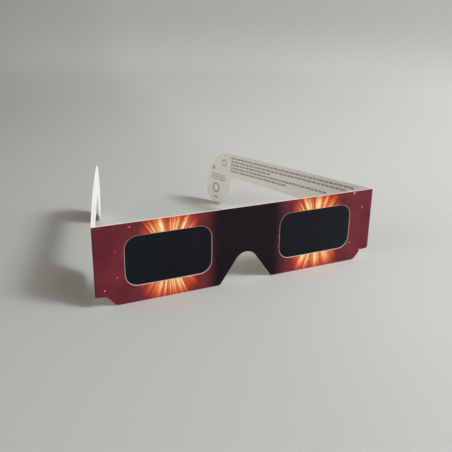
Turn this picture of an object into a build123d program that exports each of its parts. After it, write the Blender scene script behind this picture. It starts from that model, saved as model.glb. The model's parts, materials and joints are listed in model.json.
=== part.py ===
from build123d import *
import math
import os

os.makedirs("parts", exist_ok=True)

# Paper eclipse glasses: two glued plies of board hold two dark films, and the
# printed ply runs on past a scored fold at each side as a temple with an ear hook.
# Millimetres and degrees. +X is to the right as seen from the front, +Y runs back
# along the temples, +Z is up. The origin is at the middle of the footprint, on the
# surface that the glasses stand on. Left is the -X side, as seen from the front.

# Sheets
board = 0.42
film_thickness = 0.10
glue_thickness = 0.05

# Front, from fold line to fold line
front_width = 146.6
front_height = 38.0
tab_rise = 5.3
tab_drop = 0.4
tab_run = 4.2
step_run = 4.4
corner_round = 3.0
tab_round = 1.8

# Nose notch: a wedge with a round top
nose_half_width = 14.0
nose_lean_angle = 35.4
nose_top_round = 6.2
nose_corner_round = 2.2

# Rims of board round the windows, and the films behind them
bridge_rim = 4.4
fold_rim = 13.1
rim_below = 8.0
rim_above = 6.5
window_round = 6.0
rear_window_growth = 0.4
film_rim = 2.5
film_round = 0.8

# Glue layers
glue_inset = 1.0
glue_setback = 0.8
pocket_gap = 0.3

# Folds, as found at rest: how far each temple leans in past square
left_toe_in_angle = 16.0
right_toe_in_angle = 14.9
folded_gap = 0.10
fold_relief = 1.2

# Temple and ear hook, measured along the temple from its fold
reach = 134.8
arm_bottom = 20.7
arm_droop_angle = 0.6
root_run = 30.0
taper_end = 50.0
hook_width = 24.0
hook_inner_round = 4.0
hook_back_straight = 1.6
tip_front_share = 0.57
tip_rear_share = 0.39

# Depths of the layers behind the printed face
core = glue_thickness + film_thickness
film_back = board + core
laminate = film_back + board

# The fold turns about an upright line behind the printed ply, so that the
# temple lies flat in the same plane as the front, or flat against its back
axis_depth = (laminate + board + folded_gap) / 2
fold_inner_radius = axis_depth - board
fold_outer_radius = axis_depth


def rear_reach(toe_in):
    """How far the hook stands behind the fold's turning line."""
    lean = math.radians(toe_in)
    return reach * math.cos(lean) + fold_outer_radius * math.sin(lean)


depth = axis_depth + max(rear_reach(left_toe_in_angle), rear_reach(right_toe_in_angle))
front_y = -depth / 2
axis_y = front_y + axis_depth
toe_ins = {-1: left_toe_in_angle, 1: right_toe_in_angle}
names = {-1: "left", 1: "right"}

window_start = nose_half_width + bridge_rim
window_width = front_width / 2 - window_start - fold_rim
window_height = front_height - rim_below - rim_above
window_middle_x = window_start + window_width / 2
window_middle_z = rim_below + window_height / 2
film_overlap = rim_above - film_rim
film_width = window_width + 2 * film_overlap
film_height = window_height + 2 * film_overlap


def layer(back):
    """The plane of a layer's back face, with its normal towards the viewer."""
    return Plane.XZ.offset(-(front_y + back))


def front_outline(side_inset):
    """The front's outline, stopping short of each fold line by the inset."""
    edge = front_width / 2 - side_inset
    tab_end = front_width / 2 - tab_run
    tab_end_rise = tab_rise - tab_drop
    corner = tab_end - step_run
    nose_peak = nose_half_width / math.tan(math.radians(nose_lean_angle))
    with BuildSketch() as outline:
        with BuildLine():
            Polyline(
                (-edge, front_height),
                (-edge, tab_rise),
                (-tab_end, tab_end_rise),
                (-corner, 0),
                (-nose_half_width, 0),
                (0, nose_peak),
                (nose_half_width, 0),
                (corner, 0),
                (tab_end, tab_end_rise),
                (edge, tab_rise),
                (edge, front_height),
                close=True,
            )
        make_face()
        feet = outline.vertices().group_by(Axis.Y)[0].sort_by(Axis.X)
        fillet(feet[1:3], radius=nose_corner_round)
        feet = outline.vertices().group_by(Axis.Y)[0].sort_by(Axis.X)
        fillet([feet[0], feet[-1]], radius=corner_round)
        peak = outline.vertices().sort_by_distance((0, nose_peak))[0]
        fillet(peak, radius=nose_top_round)
        for side in (-1, 1):
            step = outline.vertices().sort_by_distance((side * tab_end, tab_end_rise))[0]
            fillet(step, radius=tab_round)
    return outline.sketch


def window(side, margin):
    """One window's outline, grown by the margin on every side."""
    with BuildSketch() as opening:
        with Locations((side * window_middle_x, window_middle_z)):
            RectangleRounded(window_width + 2 * margin, window_height + 2 * margin, window_round + margin)
    return opening.sketch


def film_outline(side, margin):
    """One film's outline, grown by the margin on every side."""
    with BuildSketch() as sheet:
        with Locations((side * window_middle_x, window_middle_z)):
            RectangleRounded(film_width + 2 * margin, film_height + 2 * margin, film_round + margin)
    return sheet.sketch


def save(piece, name):
    """Labels a finished piece and writes it under its own name."""
    piece.part.label = name
    export_step(piece.part, f"parts/{name}.step")


# Printed front ply
with BuildPart() as front_panel:
    with BuildSketch(layer(board)):
        add(front_outline(0))
        for side in (-1, 1):
            add(window(side, 0), mode=Mode.SUBTRACT)
    extrude(amount=board)
save(front_panel, "front_panel")

# White rear ply, which stops short of the folds
with BuildPart() as rear_panel:
    with BuildSketch(layer(laminate)):
        add(front_outline(fold_relief))
        for side in (-1, 1):
            add(window(side, rear_window_growth), mode=Mode.SUBTRACT)
    extrude(amount=board)
save(rear_panel, "rear_panel")

# Glue between the two plies, all round the films
with BuildPart() as panel_adhesive:
    with BuildSketch(layer(film_back)):
        add(front_outline(fold_relief))
        offset(amount=-glue_inset, mode=Mode.REPLACE)
        for side in (-1, 1):
            add(film_outline(side, pocket_gap), mode=Mode.SUBTRACT)
    extrude(amount=core)
save(panel_adhesive, "panel_adhesive")

for side, name in names.items():
    # Dark film, held at its rim between the plies
    with BuildPart() as filter_film:
        with BuildSketch(layer(film_back)):
            add(film_outline(side, 0))
        extrude(amount=film_thickness)
    save(filter_film, f"{name}_filter")

    # Glue frame that tacks the film to the front ply
    with BuildPart() as filter_adhesive:
        with BuildSketch(layer(board + glue_thickness)):
            add(film_outline(side, 0))
            add(window(side, glue_setback), mode=Mode.SUBTRACT)
        extrude(amount=glue_thickness)
    save(filter_adhesive, f"{name}_filter_adhesive")


def temple_plane(side):
    """The temple's inner face: local X runs back from the fold, local Y is up."""
    lean = math.radians(toe_ins[side])
    along = Vector(-side * math.sin(lean), math.cos(lean), 0)
    outward = Vector(side * math.cos(lean), math.sin(lean), 0)
    fold_line = Vector(side * front_width / 2, axis_y, 0)
    return Plane(
        origin=fold_line + outward * fold_inner_radius,
        x_dir=along,
        z_dir=along.cross(Vector(0, 0, 1)),
    )


def temple_outline():
    """The temple from its tall root through an S-shaped taper to the ear hook."""
    hook_front = reach - hook_width
    crown_z = front_height - reach * math.tan(math.radians(arm_droop_angle))
    tip_rear_round = tip_rear_share * hook_width
    crown_round = crown_z - tip_rear_round - hook_back_straight
    with BuildSketch() as outline:
        with BuildLine():
            root = Line((0, tab_rise), (root_run, tab_rise))
            middle = ((root_run + taper_end) / 2, (tab_rise + arm_bottom) / 2)
            lower = TangentArc(root @ 1, middle, tangent=root % 1)
            upper = TangentArc(lower @ 1, (taper_end, arm_bottom), tangent=lower % 1)
            Polyline(
                upper @ 1,
                (hook_front, arm_bottom),
                (hook_front, 0),
                (reach, 0),
                (reach, crown_z),
                (0, front_height),
                (0, tab_rise),
            )
        make_face()
        corners = (
            ((hook_front, arm_bottom), hook_inner_round),
            ((hook_front, 0), tip_front_share * hook_width),
            ((reach, 0), tip_rear_round),
            ((reach, crown_z), crown_round),
        )
        for place, radius in corners:
            fillet(outline.vertices().sort_by_distance(place)[0], radius=radius)
    return outline.sketch


for side, name in names.items():
    # Temple, cut from the same sheet as the printed front
    with BuildPart() as temple:
        with BuildSketch(temple_plane(side)):
            add(temple_outline())
        extrude(amount=side * board)
    save(temple, f"{name}_temple")

    # Scored fold: the bent strip of board between the front and the temple
    with BuildPart() as crease:
        with BuildSketch(Plane.XY.offset(tab_rise)):
            with BuildLine():
                fold_line = (side * front_width / 2, axis_y)
                bend = side * (90 + toe_ins[side])
                inner = CenterArc(fold_line, fold_inner_radius, -90, bend)
                outer = CenterArc(fold_line, fold_outer_radius, -90, bend)
                Line(inner @ 0, outer @ 0)
                Line(inner @ 1, outer @ 1)
            make_face()
        extrude(amount=front_height - tab_rise)
    save(crease, f"{name}_crease")
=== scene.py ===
import json
import math

import bmesh
import bpy
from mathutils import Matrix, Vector


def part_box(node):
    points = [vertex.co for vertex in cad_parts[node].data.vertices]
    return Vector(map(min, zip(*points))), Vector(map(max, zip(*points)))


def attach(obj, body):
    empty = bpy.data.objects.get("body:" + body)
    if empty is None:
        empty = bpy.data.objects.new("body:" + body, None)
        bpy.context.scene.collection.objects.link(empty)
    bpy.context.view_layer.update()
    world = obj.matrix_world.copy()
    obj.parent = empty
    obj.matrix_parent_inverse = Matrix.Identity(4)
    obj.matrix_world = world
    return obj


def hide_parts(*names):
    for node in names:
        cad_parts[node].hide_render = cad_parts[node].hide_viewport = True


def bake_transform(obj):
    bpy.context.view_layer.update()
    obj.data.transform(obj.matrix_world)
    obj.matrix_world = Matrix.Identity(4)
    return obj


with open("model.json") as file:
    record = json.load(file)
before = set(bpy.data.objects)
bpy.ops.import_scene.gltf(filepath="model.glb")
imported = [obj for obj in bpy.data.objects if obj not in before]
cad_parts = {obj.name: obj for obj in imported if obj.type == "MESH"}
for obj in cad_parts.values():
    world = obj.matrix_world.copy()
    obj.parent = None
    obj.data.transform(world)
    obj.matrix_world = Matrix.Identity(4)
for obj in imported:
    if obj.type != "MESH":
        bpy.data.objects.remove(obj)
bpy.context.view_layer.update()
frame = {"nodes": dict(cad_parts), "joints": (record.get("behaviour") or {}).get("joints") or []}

# Paper eclipse glasses. Sizes are in metres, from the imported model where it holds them.
# Each sheet also carries coordinates of its own, in millimetres, as it lay flat before it
# was folded: U runs from the middle of the front out along the temples, less than zero on
# the left, and V is up.
mm = 0.001
sides = {"left": -1, "right": 1}

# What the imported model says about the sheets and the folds
front_low, front_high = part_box("front_panel")
board = front_high.y - front_low.y
fold_x = front_high.x
front_height = front_high.z
tab_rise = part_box("left_crease")[0].z
joints = {joint["name"].split("_")[0]: joint for joint in frame["joints"]}
axis_y = joints["left"]["pos_m"][1]
outer_radius = axis_y - front_low.y
inner_radius = outer_radius - board
bends = {name: math.radians(-joints[name]["range_deg"][0]) for name in sides}
fold_ends = [fold_x] + [fold_x + outer_radius * bend for bend in bends.values()]

# Windows, from the film behind each and its overlap
film_overlap = 4.0 * mm
window_round = 6.0 * mm
film_low, film_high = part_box("right_filter")
window_middle = (film_low + film_high) / 2
window_half = (film_high - film_low) / 2 - Vector((film_overlap, 0, film_overlap))

# Soft edges that the cutting die leaves: wide round the windows and inside the arms
wide_edge = 0.22 * mm
sheet_edge = 0.07 * mm

# How far each arm bows outward at its middle, and how far the left hook's tip turns out
# and its top turns in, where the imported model's arms are flat
bows = {"left": 0.7 * mm, "right": 0.3 * mm}
twists = {"left": (0.2 * mm, -0.33 * mm), "right": (0.0, 0.0)}

# Depth of the fine relief of bare board and glue, of the print and of the films
rough_relief = 0.01 * mm
print_relief = 0.006 * mm
film_relief = 0.0004 * mm

# A board piece's materials: its outer face, its inner face and its cut edges
outer_slot, inner_slot, edge_slot = 0, 1, 2

# How squarely a face has to point outward or inward to count as one of a sheet's two
# faces, before and after the edges between them are softened
sharp_facing = 0.9
soft_facing = 0.985

# Points nearer than this are one, and faces that meet at less than this shade as one
same_point = 0.001 * mm
crisp_angle = math.radians(30)


class Shade:
    """A material's node tree, with short calls for the nodes that it is built from."""

    # Where a mix node has its share and its two colours, and the mixed colour
    mix_inputs = (0, 6, 7)
    mix_output = 2

    def __init__(self, name):
        self.material = bpy.data.materials.new(name)
        self.material.use_nodes = True
        self.nodes = self.material.node_tree.nodes
        self.links = self.material.node_tree.links
        self.shader = self.nodes["Principled BSDF"]

    def add(self, kind, settings=None, **inputs):
        """A node with its settings and its inputs, each a value or another node's output."""
        made = self.nodes.new(kind)
        for key, value in (settings or {}).items():
            setattr(made, key, value)
        for key, value in inputs.items():
            self.put(made.inputs[key.replace("_", " ")], value)
        return made

    def put(self, socket, value):
        """Links another node's output to a socket, or sets the socket to a value."""
        if isinstance(value, bpy.types.NodeSocket):
            self.links.new(value, socket)
        else:
            socket.default_value = value

    def math(self, operation, *terms, clamp=False):
        """The result of an operation on one, two or three terms."""
        made = self.add("ShaderNodeMath", {"operation": operation, "use_clamp": clamp})
        for socket, term in zip(made.inputs, terms):
            self.put(socket, term)
        return made.outputs[0]

    def step(self, value, start, end, low=0.0, high=1.0):
        """A smooth change from low to high as the value goes from start to end."""
        settings = {"interpolation_type": "SMOOTHSTEP"}
        ends = {"From_Min": start, "From_Max": end, "To_Min": low, "To_Max": high}
        return self.add("ShaderNodeMapRange", settings, Value=value, **ends).outputs[0]

    def noise(self, place, scale, detail=2.0, roughness=0.5, dimensions="3D"):
        """Soft noise over a place, or along a line where it has one dimension."""
        inputs = {"Scale": scale, "Detail": detail, "Roughness": roughness}
        made = self.add("ShaderNodeTexNoise", {"noise_dimensions": dimensions}, **inputs)
        self.put(made.inputs["W" if dimensions == "1D" else "Vector"], place)
        return made.outputs["Fac"]

    def mix(self, share, first, second):
        """The first colour where the share is zero, going over into the second."""
        made = self.add("ShaderNodeMix", {"data_type": "RGBA"})
        for index, value in zip(self.mix_inputs, (share, first, second)):
            self.put(made.inputs[index], value)
        return made.outputs[self.mix_output]

    def ramp(self, value, stops):
        """A colour ramp through (position, colour) stops."""
        made = self.add("ShaderNodeValToRGB", Fac=value)
        elements = made.color_ramp.elements
        for element, (position, colour) in zip(list(elements), (stops[0], stops[-1])):
            element.position = position
            element.color = colour
        for position, colour in stops[1:-1]:
            elements.new(position).color = colour
        return made.outputs["Color"]

    def finish(self, colour, roughness, height=None, bump=0.0, **constants):
        """Links the colour, the roughness and the bump, and sets the shader's constants."""
        self.put(self.shader.inputs["Base Color"], colour)
        self.put(self.shader.inputs["Roughness"], roughness)
        for key, value in constants.items():
            self.shader.inputs[key.replace("_", " ")].default_value = value
        if height is not None:
            made = self.add("ShaderNodeBump", Height=height, Strength=1.0, Distance=bump)
            self.put(self.shader.inputs["Normal"], made.outputs["Normal"])
        return self.material


def rgb(red, green, blue):
    """A colour as it shows on screen, 0 to 255, turned into the linear one that nodes take."""
    def linear(value):
        share = value / 255
        return share / 12.92 if share <= 0.04045 else ((share + 0.055) / 1.055) ** 2.4
    return (linear(red), linear(green), linear(blue), 1.0)


def sheet_place(shade):
    """The U and V of a point on the flat sheet, in millimetres, and both as one vector."""
    place = shade.add("ShaderNodeAttribute", {"attribute_name": "sheet_place"}).outputs["Vector"]
    split = shade.add("ShaderNodeSeparateXYZ", Vector=place)
    return split.outputs["X"], split.outputs["Y"], place


def paper_fibres(shade, place):
    """The small relief of paper: fine fibres over a slow waviness of the board."""
    waviness = 3.0
    fine = shade.noise(place, 5.0, detail=4.0, roughness=0.65)
    slow = shade.noise(place, 0.12, detail=1.0)
    return shade.math("MULTIPLY_ADD", slow, waviness, fine)


def window_distance(shade, u, v):
    """How far a point of the front is outside the nearer window, and its place from that
    window's middle, in millimetres."""
    corner = [(half - window_round) / mm for half in (window_half.x, window_half.z)]
    across = shade.math("SUBTRACT", shade.math("ABSOLUTE", u), window_middle.x / mm)
    up = shade.math("SUBTRACT", v, window_middle.z / mm)
    beyond = [
        shade.math("MAXIMUM", shade.math("SUBTRACT", shade.math("ABSOLUTE", term), size), 0.0)
        for term, size in zip((across, up), corner)
    ]
    distance = shade.math("SUBTRACT", length_of(shade, beyond), window_round / mm)
    return distance, across, up


def length_of(shade, terms):
    """How long a line is that runs so far across and so far up."""
    squares = [shade.math("MULTIPLY", term, term) for term in terms]
    return shade.math("SQRT", shade.math("ADD", *squares))


def sun_rays(shade, u, v):
    """Straight rays that fan out from behind each window and fade away from its edge."""
    side_shift = 7.0
    broad_share, narrow_share = 0.7, 0.8
    ray_start, ray_end = 0.60, 0.98
    upright_start, upright_end = 5.0, 17.0
    fade_start, fade_end = 1.0, 13.0
    glow_strength, ray_strength = 0.42, 0.75
    distance, across, up = window_distance(shade, u, v)
    turn = shade.math("ARCTAN2", up, across)
    side = shade.math("MULTIPLY", shade.math("SIGN", u), side_shift)
    along = shade.math("ADD", turn, side)
    broad = shade.noise(along, 5.0, detail=1.0, dimensions="1D")
    narrow = shade.noise(along, 24.0, detail=2.0, roughness=0.7, dimensions="1D")
    broad = shade.math("MULTIPLY", broad, broad_share)
    narrow = shade.math("MULTIPLY", narrow, narrow_share)
    ray = shade.step(shade.math("ADD", broad, narrow), ray_start, ray_end)
    upright = shade.step(shade.math("ABSOLUTE", across), upright_start, upright_end, 1.0, 0.0)
    fade = shade.step(distance, fade_start, fade_end, 1.0, 0.0)
    glow = shade.math("MULTIPLY", shade.math("MULTIPLY", upright, fade), glow_strength)
    bright = shade.math("MULTIPLY", shade.math("MULTIPLY", ray, upright), fade)
    return shade.math("ADD", glow, shade.math("MULTIPLY", bright, ray_strength), clamp=True)


def soft_dots(shade, place):
    """The halos and the bright cores of small round dots, scattered by chance."""
    cell_scale, rarity, largest, smallest = 0.16, 4.0, 0.27, 0.001
    cells = shade.add(
        "ShaderNodeTexVoronoi", {"voronoi_dimensions": "2D"}, Vector=place, Scale=cell_scale
    )
    luck = shade.add("ShaderNodeSeparateColor", Color=cells.outputs["Color"])
    rare = shade.math("POWER", luck.outputs["Red"], rarity)
    size = shade.math("MULTIPLY_ADD", rare, largest, smallest)
    share = shade.math("DIVIDE", cells.outputs["Distance"], size)
    halo = shade.step(share, 0.2, 1.0, 0.6, 0.0)
    core = shade.step(share, 0.0, 0.55, 1.0, 0.0)
    return halo, core


def printed_material():
    """The varnished print: maroon with a dark middle, rays round the windows and soft dots."""
    shade = Shade("printed_face")
    u, v, place = sheet_place(shade)
    mottle = shade.noise(place, 0.055, detail=3.0)
    ground = shade.mix(shade.step(mottle, 0.3, 0.7), rgb(93, 29, 39), rgb(117, 41, 51))
    middle = shade.step(shade.math("ABSOLUTE", u), 14.5, 24.0, 1.0, 0.0)
    colour = shade.mix(middle, ground, rgb(11, 4, 14))
    around = shade.math("SUBTRACT", 1.0, middle)
    rays = shade.math("MULTIPLY", sun_rays(shade, u, v), around)
    flame = shade.ramp(rays, [
        (0.0, rgb(120, 42, 44)),
        (0.35, rgb(190, 66, 44)),
        (0.6, rgb(232, 128, 72)),
        (0.85, rgb(250, 196, 128)),
        (1.0, rgb(255, 232, 176)),
    ])
    colour = shade.mix(shade.step(rays, 0.0, 0.3), colour, flame)
    for dots, tint in zip(soft_dots(shade, place), (rgb(196, 84, 78), rgb(255, 196, 184))):
        colour = shade.mix(shade.math("MULTIPLY", dots, around), colour, tint)
    fibres = paper_fibres(shade, place)
    grain = shade.noise(place, 14.0, detail=2.0)
    colour = shade.mix(shade.step(grain, 0.55, 0.8, 0.0, 0.12), colour, rgb(150, 96, 92))
    roughness = shade.step(shade.noise(place, 2.0, detail=3.0), 0.2, 0.8, 0.42, 0.56)
    return shade.finish(colour, roughness, fibres, print_relief, IOR=1.26)


def white_colour(shade, place):
    """Bleached board with faint darker fibres and specks."""
    fibre = shade.noise(place, 3.5, detail=5.0, roughness=0.7)
    cloud = shade.noise(place, 0.16, detail=2.0)
    colour = shade.mix(cloud, rgb(243, 240, 234), rgb(251, 248, 243))
    return shade.mix(shade.step(fibre, 0.45, 0.75, 0.0, 0.3), colour, rgb(220, 212, 198))


def white_material():
    """The bare white face of the board."""
    shade = Shade("white_face")
    place = sheet_place(shade)[2]
    colour = white_colour(shade, place)
    return shade.finish(colour, 0.82, paper_fibres(shade, place), rough_relief, IOR=1.35)


def band(shade, value, middle, half):
    """One where the value is within half of the middle, and zero beyond, with a soft edge."""
    blur = 0.09
    away = shade.math("ABSOLUTE", shade.math("SUBTRACT", value, middle))
    return shade.step(away, half - blur, half + blur, 1.0, 0.0)


def dashes(shade, back, level, height, half, start, end):
    """A row of plain dashes of chance lengths, between two places along the arm."""
    row_shift, cell_scale, gap_start, gap_end = 43.7, 0.30, 0.05, 0.10
    row = band(shade, level, height, half)
    span = band(shade, back, (start + end) / 2, (end - start) / 2)
    shifted = shade.math("ADD", back, row_shift * height)
    settings = {"voronoi_dimensions": "1D", "feature": "DISTANCE_TO_EDGE"}
    cells = shade.add("ShaderNodeTexVoronoi", settings, W=shifted, Scale=cell_scale)
    lengths = shade.step(cells.outputs["Distance"], gap_start, gap_end)
    return shade.math("MULTIPLY", shade.math("MULTIPLY", row, span), lengths)


def ring(shade, back, height, place, radius, half):
    """A plain ring, or a dot where its radius is zero, on the arm's inner face."""
    across = shade.math("SUBTRACT", back, place[0])
    up = shade.math("SUBTRACT", height, place[1])
    return band(shade, length_of(shade, (across, up)), radius, half)


def small_marks(shade, u, v):
    """Plain dashes and rings on an arm's inner face, in millimetres behind the fold and up."""
    rows = ((33.6, 11), (31.4, 16), (29.3, 74), (27.1, 30), (25.0, 61))
    row_half, row_tilt, rows_back = 0.60, 0.017, 110.5
    short_rows, short_half, short_ends = (20.0, 18.4, 16.8), 0.38, (115.8, 129.8)
    rings = (((117.0, 29.2), 2.0, 0.38), ((127.5, 24.2), 0.0, 1.3), ((125.2, 10.6), 2.9, 0.6))
    last_dash, last_ends = 4.0, (123.4, 127.4)
    arc = outer_radius * bends["right"]
    back = shade.math("SUBTRACT", u, (fold_x + arc) / mm)
    drop = shade.math("SUBTRACT", back, rows_back)
    level = shade.math("MULTIPLY_ADD", drop, row_tilt, v)
    marks = [dashes(shade, back, level, height, row_half, near, rows_back) for height, near in rows]
    marks += [dashes(shade, back, v, height, short_half, *short_ends) for height in short_rows]
    marks += [ring(shade, back, v, *sizes) for sizes in rings]
    marks.append(dashes(shade, back, v, last_dash, row_half, *last_ends))
    total = marks[0]
    for mark in marks[1:]:
        total = shade.math("MAXIMUM", total, mark)
    return total


def marked_material():
    """The white inner face of the right arm, with its small grey marks."""
    shade = Shade("marked_face")
    u, v, place = sheet_place(shade)
    wear = shade.step(shade.noise(place, 1.6, detail=3.0, roughness=0.7), 0.35, 0.65, 0.35, 0.8)
    share = shade.math("MULTIPLY", small_marks(shade, u, v), wear)
    colour = shade.mix(share, white_colour(shade, place), rgb(70, 66, 56))
    return shade.finish(colour, 0.82, paper_fibres(shade, place), rough_relief, IOR=1.35)


def edge_material(name, light, dark):
    """The cut edge of the board, where the layers of fibre show."""
    shade = Shade(name)
    place = shade.add("ShaderNodeTexCoord").outputs["Object"]
    fibre = shade.noise(place, 9000.0, detail=4.0, roughness=0.7)
    colour = shade.mix(shade.step(fibre, 0.35, 0.75), light, dark)
    return shade.finish(colour, 0.85, fibre, rough_relief, IOR=1.35)


def film_material():
    """The near-black film: smooth, with a painted bluish reflection that makes it bluer towards the folds,
    and faint smears in its gloss.
    """
    shade = Shade("dark_film")
    u, _, place = sheet_place(shade)
    smear = shade.noise(place, 0.2, detail=3.0, roughness=0.6)
    speck = shade.noise(place, 12.0, detail=2.0)
    colour = shade.mix(shade.step(smear, 0.3, 0.7), rgb(5, 7, 15), rgb(8, 11, 20))
    # Painted reflection: a bluish tint towards the folds
    outer = shade.step(shade.math("ABSOLUTE", u), 36.0, 58.0, 0.0, 0.7)
    colour = shade.mix(outer, colour, rgb(4, 17, 26))
    roughness = shade.step(smear, 0.3, 0.75, 0.10, 0.22)
    return shade.finish(colour, roughness, speck, film_relief, IOR=1.29)


def glue_material():
    """Dried glue between the layers: cream, a little glossy and uneven."""
    shade = Shade("dried_glue")
    place = shade.add("ShaderNodeTexCoord").outputs["Object"]
    cloud = shade.noise(place, 400.0, detail=3.0)
    colour = shade.mix(cloud, rgb(205, 196, 170), rgb(228, 221, 200))
    return shade.finish(colour, shade.step(cloud, 0.3, 0.7, 0.35, 0.6), cloud, rough_relief)


def temple_axes(name):
    """The directions along a temple and straight out from it."""
    side = sides[name]
    lean = bends[name] - math.pi / 2
    along = Vector((-side * math.sin(lean), math.cos(lean), 0))
    outward = Vector((side * math.cos(lean), math.sin(lean), 0))
    return along, outward


def on_front(point):
    """The flat sheet's U and V of a point of the front."""
    return point.x, point.z


def on_crease(name):
    """The flat sheet's U and V of a point of a fold, from how far round the fold it is."""
    side = sides[name]
    def place(point):
        turned = math.atan2(side * point.x - fold_x, axis_y - point.y)
        return side * (fold_x + outer_radius * turned), point.z
    return place


def on_temple(name):
    """The flat sheet's U and V of a point of a temple, from how far behind its fold it is."""
    side = sides[name]
    along = temple_axes(name)[0]
    fold_line = Vector((side * fold_x, axis_y, 0))
    arc = outer_radius * bends[name]
    def place(point):
        return side * (fold_x + arc + (point - fold_line).dot(along)), point.z
    return place


def from_cad(node):
    """A CAD node's own geometry, with its split corners joined and its flat faces whole."""
    flat_angle = math.radians(0.1)
    bm = bmesh.new()
    bm.from_mesh(frame["nodes"][node].data)
    bmesh.ops.remove_doubles(bm, verts=bm.verts, dist=same_point)
    bmesh.ops.dissolve_limit(bm, angle_limit=flat_angle, verts=bm.verts, edges=bm.edges)
    return bm


def in_window(edge):
    """True for an edge that lies round one of the windows."""
    margin = 1.0 * mm
    reach = window_half + Vector((margin, margin, margin))
    return all(
        abs(abs(vert.co.x) - window_middle.x) < reach.x and abs(vert.co.z - window_middle.z) < reach.z
        for vert in edge.verts
    )


def at_fold(point, place):
    """True for a point where a sheet meets the fold beside it."""
    return any(abs(abs(place(point)[0]) - end) < same_point for end in fold_ends)


def soften(bm, outward, place, node):
    """Rounds the long edges of a sheet, with more where the cutting die went in."""
    bm.normal_update()
    wide, slim = [], []
    for edge in bm.edges:
        facing = sorted(face.normal.dot(outward) for face in edge.link_faces)
        flat_sides = sum(abs(share) > sharp_facing for share in facing)
        if flat_sides != 1 or all(at_fold(vert.co, place) for vert in edge.verts):
            continue
        printed_side = facing[1] > sharp_facing
        window = node == "front_panel" and printed_side and in_window(edge)
        inside_arm = node.endswith("temple") and not printed_side
        (wide if window or inside_arm else slim).append(edge)
    for edges, size in ((wide, wide_edge), (slim, sheet_edge)):
        if edges:
            bmesh.ops.bevel(bm, geom=edges, offset=size, segments=3, profile=0.5, affect="EDGES")


def cut_across(bm, axis, start, end, spacing):
    """Cuts a mesh with evenly spaced planes, so that it can bend along the axis."""
    cuts = round((end - start) / spacing)
    for cut in range(1, cuts):
        geometry = bm.verts[:] + bm.edges[:] + bm.faces[:]
        point = axis * (start + (end - start) * cut / cuts)
        bmesh.ops.bisect_plane(bm, geom=geometry, plane_co=point, plane_no=axis)


def bow_out(bm, name):
    """Bows an arm outward at its middle and twists it a little towards its rear end."""
    spacing = 3.0 * mm
    along, outward = temple_axes(name)
    tip_turn, top_turn = twists[name]
    reaches = [vert.co.dot(along) for vert in bm.verts]
    start, end = min(reaches), max(reaches)
    cut_across(bm, along, start, end, spacing)
    for vert in bm.verts:
        share = (vert.co.dot(along) - start) / (end - start)
        turn = tip_turn + (top_turn - tip_turn) * vert.co.z / front_height
        vert.co += outward * (bows[name] * 4 * share * (1 - share) + turn * share ** 2)


def set_faces(bm, outward):
    """Gives each face of a sheet its material, with smooth shading on the edges alone."""
    bmesh.ops.triangulate(bm, faces=[face for face in bm.faces if len(face.verts) > 4])
    bm.normal_update()
    for face in bm.faces:
        facing = face.normal.dot(outward)
        face.material_index = edge_slot
        if abs(facing) > soft_facing:
            face.material_index = outer_slot if facing > 0 else inner_slot
        face.smooth = face.material_index == edge_slot


def write_places(mesh, place):
    """Keeps each point's place on the flat sheet, in millimetres, with the mesh."""
    attribute = mesh.attributes.new("sheet_place", "FLOAT_VECTOR", "POINT")
    for vertex, value in zip(mesh.vertices, attribute.data):
        u, v = place(vertex.co)
        value.vector = (u / mm, v / mm, 0)


def as_mesh(bm, name):
    """The finished geometry as a mesh."""
    mesh = bpy.data.meshes.new(name)
    bm.to_mesh(mesh)
    bm.free()
    return mesh


def as_sheet(bm, name, place):
    """The finished geometry as the mesh of a sheet, crisp where its faces meet at an angle."""
    for edge in bm.edges:
        edge.smooth = edge.calc_face_angle(0) < crisp_angle
    mesh = as_mesh(bm, name)
    write_places(mesh, place)
    return mesh


def put_in(name, data):
    """A new object in the scene."""
    made = bpy.data.objects.new(name, data)
    bpy.context.scene.collection.objects.link(made)
    return made


def show(mesh, name, materials, node):
    """Puts a finished mesh into the scene in place of its CAD node."""
    for material in materials:
        mesh.materials.append(material)
    piece = put_in(name, mesh)
    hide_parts(node)
    return piece


def make_sheet(node, name, body, outward, place, materials, arm=None):
    """A sheet of board with softened edges, made from its CAD node's own outline."""
    bm = from_cad(node)
    soften(bm, outward, place, node)
    if arm:
        bow_out(bm, arm)
    set_faces(bm, outward)
    mesh = as_sheet(bm, name, place)
    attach(show(mesh, name, materials, node), body)


def make_crease(name, materials):
    """The bent strip of board at a fold, built at the fold's full bend."""
    side = sides[name]
    steps = 28
    profile = [
        (inner_radius, tab_rise + sheet_edge),
        (inner_radius + sheet_edge, tab_rise),
        (outer_radius - sheet_edge, tab_rise),
        (outer_radius, tab_rise + sheet_edge),
        (outer_radius, front_height - sheet_edge),
        (outer_radius - sheet_edge, front_height),
        (inner_radius + sheet_edge, front_height),
        (inner_radius, front_height - sheet_edge),
    ]
    printed, plain = 3, len(profile) - 1
    slots = {printed: outer_slot, plain: inner_slot}

    def round_fold(radius, turned, height):
        across, back = math.sin(turned), -math.cos(turned)
        return side * (fold_x + radius * across), axis_y + radius * back, height

    bm = bmesh.new()
    loops = []
    for step in range(steps + 1):
        turned = bends[name] * step / steps
        loops.append([bm.verts.new(round_fold(radius, turned, height)) for radius, height in profile])
    for first, second in zip(loops, loops[1:]):
        for index in range(len(profile)):
            after = (index + 1) % len(profile)
            face = bm.faces.new((first[index], first[after], second[after], second[index]))
            face.material_index = slots.get(index, edge_slot)
            face.smooth = True
    for loop in (loops[0], loops[-1]):
        bm.faces.new(loop).material_index = edge_slot
    bmesh.ops.recalc_face_normals(bm, faces=bm.faces)
    mesh = as_sheet(bm, f"{name}_fold", on_crease(name))
    piece = show(mesh, f"{name}_fold", materials, f"{name}_crease")
    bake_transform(piece)


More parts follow.
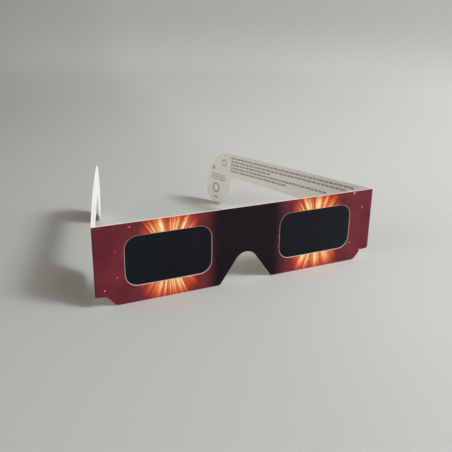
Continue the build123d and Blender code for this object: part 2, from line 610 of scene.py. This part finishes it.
def make_film(name, material):
    """A film with slow ripples where nothing holds it, inside its window."""
    spacing = 1.0 * mm
    ripple, narrow_share = 0.10 * mm, 0.5
    node = f"{name}_filter"
    low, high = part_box(node)
    bm = from_cad(node)
    for axis in (Vector((1, 0, 0)), Vector((0, 0, 1))):
        cut_across(bm, axis, low.dot(axis), high.dot(axis), spacing)
    middle = Vector((sides[name] * window_middle.x, 0, window_middle.z))
    for vert in bm.verts:
        across = (vert.co.x - middle.x) / window_half.x
        up = (vert.co.z - middle.z) / window_half.z
        slack = max(0, 1 - across ** 4) * max(0, 1 - up ** 4)
        broad = math.sin(2.1 * across + 1.3 * up + sides[name])
        narrow = narrow_share * math.sin(4.3 * across - 2.7 * up)
        vert.co.y += ripple * slack * (broad + narrow)
    for face in bm.faces:
        face.smooth = True
    bm.normal_update()
    mesh = as_sheet(bm, f"{name}_film", on_front)
    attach(show(mesh, f"{name}_film", [material], node), "front")


def make_glasses():
    """Every piece of the glasses, with its finish."""
    printed, white, printed_inside = printed_material(), white_material(), marked_material()
    edge = edge_material("cut_edge", rgb(252, 247, 240), rgb(226, 214, 202))
    inked_edge = edge_material("inked_edge", rgb(212, 190, 180), rgb(184, 150, 142))
    film, glue = film_material(), glue_material()
    towards_viewer = Vector((0, -1, 0))
    make_sheet("front_panel", "printed_front", "front", towards_viewer,
               on_front, (printed, white, inked_edge))
    make_sheet("rear_panel", "rear_board", "front", towards_viewer,
               on_front, (white, white, edge))
    for name in sides:
        inside = printed_inside if name == "right" else white
        make_sheet(f"{name}_temple", f"{name}_arm", f"{name}_temple",
                   temple_axes(name)[1], on_temple(name), (printed, inside, edge), arm=name)
        make_crease(name, (printed, white, edge))
        make_film(name, film)
    for node in ("panel_adhesive", "left_filter_adhesive", "right_filter_adhesive"):
        frame["nodes"][node].data.materials.clear()
        frame["nodes"][node].data.materials.append(glue)


def floor_material():
    """Pale matt grey with painted light that makes it lighter to the right, and painted shade that makes
    it darker up the backdrop.
    """
    back_share, shade_start, shade_end = -0.2, -0.4, 1.2
    shade = Shade("pale_floor")
    place = shade.add("ShaderNodeTexCoord").outputs["Object"]
    cloud = shade.noise(place, 1.2, detail=1.0)
    grain = shade.noise(place, 900.0, detail=2.0)
    split = shade.add("ShaderNodeSeparateXYZ", Vector=place)
    sideways = shade.math("MULTIPLY_ADD", split.outputs["Y"], back_share, split.outputs["X"])
    ends = {"From_Min": shade_start, "From_Max": shade_end}
    share = shade.add("ShaderNodeMapRange", Value=sideways, **ends).outputs[0]
    # Painted light and shade across the floor: lighter to the right and darker to the left, as the lamps'
    # light falls
    painted_light_and_shade = shade.ramp(share, [
        (0.0, rgb(132, 131, 128)),
        (0.256, rgb(191, 191, 186)),
        (0.3, rgb(206, 206, 201)),
        (0.6, rgb(226, 225, 220)),
        (1.0, rgb(250, 249, 244)),
    ])
    level = shade.add("ShaderNodeVectorMath", {"operation": "LENGTH"}, Vector=place)
    distance = level.outputs["Value"]
    # Painted light: the floor is lighter some way out, towards the foot of the backdrop
    painted_light_and_shade = shade.mix(shade.step(distance, 0.5, 1.0, 0.0, 0.2), painted_light_and_shade, rgb(250, 250, 246))
    # Painted shade: darker up the far backdrop, where less of the lamps' light reaches
    painted_light_and_shade = shade.mix(shade.step(distance, 0.98, 1.3, 0.0, 0.46), painted_light_and_shade, rgb(120, 120, 117))
    colour = shade.mix(shade.step(cloud, 0.3, 0.7, 0.0, 0.2), painted_light_and_shade, rgb(194, 195, 190))
    colour = shade.mix(shade.step(grain, 0.5, 0.8, 0.0, 0.1), colour, rgb(176, 177, 172))
    return shade.finish(colour, 0.7, IOR=1.3)


def make_floor():
    """A pale floor that curves up all round into its own backdrop."""
    flat_radius, wall_run, wall_rise, drop = 1.0, 1.6, 1.6, 0.02 * mm
    hoops, spokes = 40, 96
    material = floor_material()
    bm = bmesh.new()
    centre = bm.verts.new((0, 0, -drop))
    turns = [2 * math.pi * spoke / spokes for spoke in range(spokes)]
    before = None
    for hoop in range(1, hoops + 1):
        radius = (flat_radius + wall_run) * (hoop / hoops)
        climb = max(0.0, radius - flat_radius) / wall_run
        height = wall_rise * climb * climb * (3 - 2 * climb) - drop
        here = [bm.verts.new((radius * math.cos(turn), radius * math.sin(turn), height)) for turn in turns]
        for spoke in range(spokes):
            after = (spoke + 1) % spokes
            corners = (centre, here[spoke], here[after])
            if before:
                corners = (before[spoke], here[spoke], here[after], before[after])
            bm.faces.new(corners).smooth = True
        before = here
    mesh = as_mesh(bm, "floor")
    mesh.materials.append(material)
    floor = put_in("floor", mesh)


def soft_lamp(name, azimuth, elevation, distance, size, energy, colour):
    """A round soft lamp that looks at the glasses, by its direction in degrees."""
    azimuth, elevation = math.radians(azimuth), math.radians(elevation)
    level = Vector((math.cos(azimuth), math.sin(azimuth), 0))
    place = (level * math.cos(elevation) + Vector((0, 0, math.sin(elevation)))) * distance
    data = bpy.data.lights.new(name, "AREA")
    data.shape = "DISK"
    data.size = size
    data.energy = energy * distance ** 2
    data.color = colour
    lamp = put_in(name, data)
    lamp.location = place
    lamp.rotation_euler = (-place).to_track_quat("-Z", "Y").to_euler()


def make_light():
    """A small and a broad lamp in front and to the right, a warm one at the left, and a sky."""
    daylight, warm = (0.94, 0.97, 1.0), (1.0, 0.95, 0.88)
    front_right = {"azimuth": -46, "elevation": 43, "distance": 2.2}
    left = {"azimuth": 185, "elevation": 20, "distance": 1.5}
    sky_colour, sky_strength = (1.0, 0.955, 0.88, 1), 0.29
    soft_lamp("key", size=0.62, energy=6.0, colour=daylight, **front_right)
    soft_lamp("broad", size=1.8, energy=3.4, colour=daylight, **front_right)
    soft_lamp("fill", size=1.4, energy=3.8, colour=warm, **left)
    world = bpy.data.worlds.new("sky")
    world.use_nodes = True
    background = world.node_tree.nodes["Background"]
    background.inputs["Color"].default_value = sky_colour
    background.inputs["Strength"].default_value = sky_strength
    bpy.context.scene.world = world


def make_camera():
    """The photograph's view: from the front and to the left, a little above."""
    place = (-0.12943, -0.30340, 0.12437)
    turns = (70.402, -0.778, -26.165)
    data = bpy.data.cameras.new("camera")
    data.sensor_width = 36.0
    data.lens = 48.25
    camera = put_in("camera", data)
    camera.location = place
    camera.rotation_euler = [math.radians(turn) for turn in turns]
    bpy.context.scene.camera = camera


make_glasses()
make_floor()
make_light()
make_camera()
bpy.context.scene.view_settings.view_transform = "Standard"
